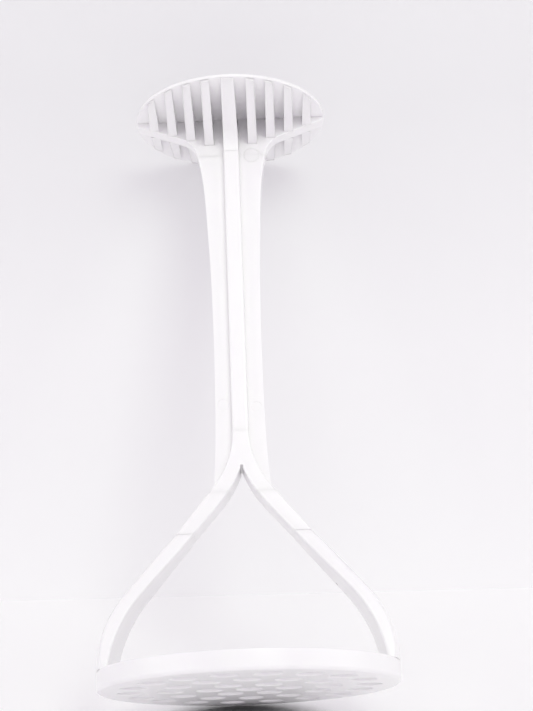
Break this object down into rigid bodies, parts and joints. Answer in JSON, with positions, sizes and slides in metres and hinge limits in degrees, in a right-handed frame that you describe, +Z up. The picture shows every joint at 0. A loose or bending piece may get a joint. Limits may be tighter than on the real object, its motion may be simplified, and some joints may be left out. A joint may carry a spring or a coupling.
{
  "type": "potato masher",
  "caption": "One-piece moulded potato masher: a ribbed round palm disc on a cross-section handle, which forks into two legs that carry a round perforated mashing plate.",
  "frame": {"origin": "centre of the mashing plate's underside, on the surface that the masher stands on", "axes": "+Z up along the handle to the palm disc, +X from the left leg to the right leg, -Y towards the viewer (one of the two mould sides)"},
  "size_m": [0.095, 0.095, 0.2],
  "materials": {
    "white_plastic": "glossy moulded white plastic, slightly translucent at thin edges"
  },
  "bodies": {
    "root": {"mash_plate": "white_plastic", "leg_left_lower": "white_plastic", "leg_right_lower": "white_plastic", "leg_left_upper": "white_plastic", "leg_right_upper": "white_plastic", "fork_crown": "white_plastic", "handle_spine": "white_plastic", "handle_wing_left": "white_plastic", "handle_wing_right": "white_plastic", "palm_keel": "white_plastic", "palm_web_left": "white_plastic", "palm_web_right": "white_plastic", "palm_rib_front_left_1": "white_plastic", "palm_rib_front_left_2": "white_plastic", "palm_rib_front_left_3": "white_plastic", "palm_rib_front_left_4": "white_plastic", "palm_rib_front_right_1": "white_plastic", "palm_rib_front_right_2": "white_plastic", "palm_rib_front_right_3": "white_plastic", "palm_rib_front_right_4": "white_plastic", "palm_rib_back_left_1": "white_plastic", "palm_rib_back_left_2": "white_plastic", "palm_rib_back_left_3": "white_plastic", "palm_rib_back_left_4": "white_plastic", "palm_rib_back_right_1": "white_plastic", "palm_rib_back_right_2": "white_plastic", "palm_rib_back_right_3": "white_plastic", "palm_rib_back_right_4": "white_plastic", "palm_plate": "white_plastic"}
  },
  "joints": []
}
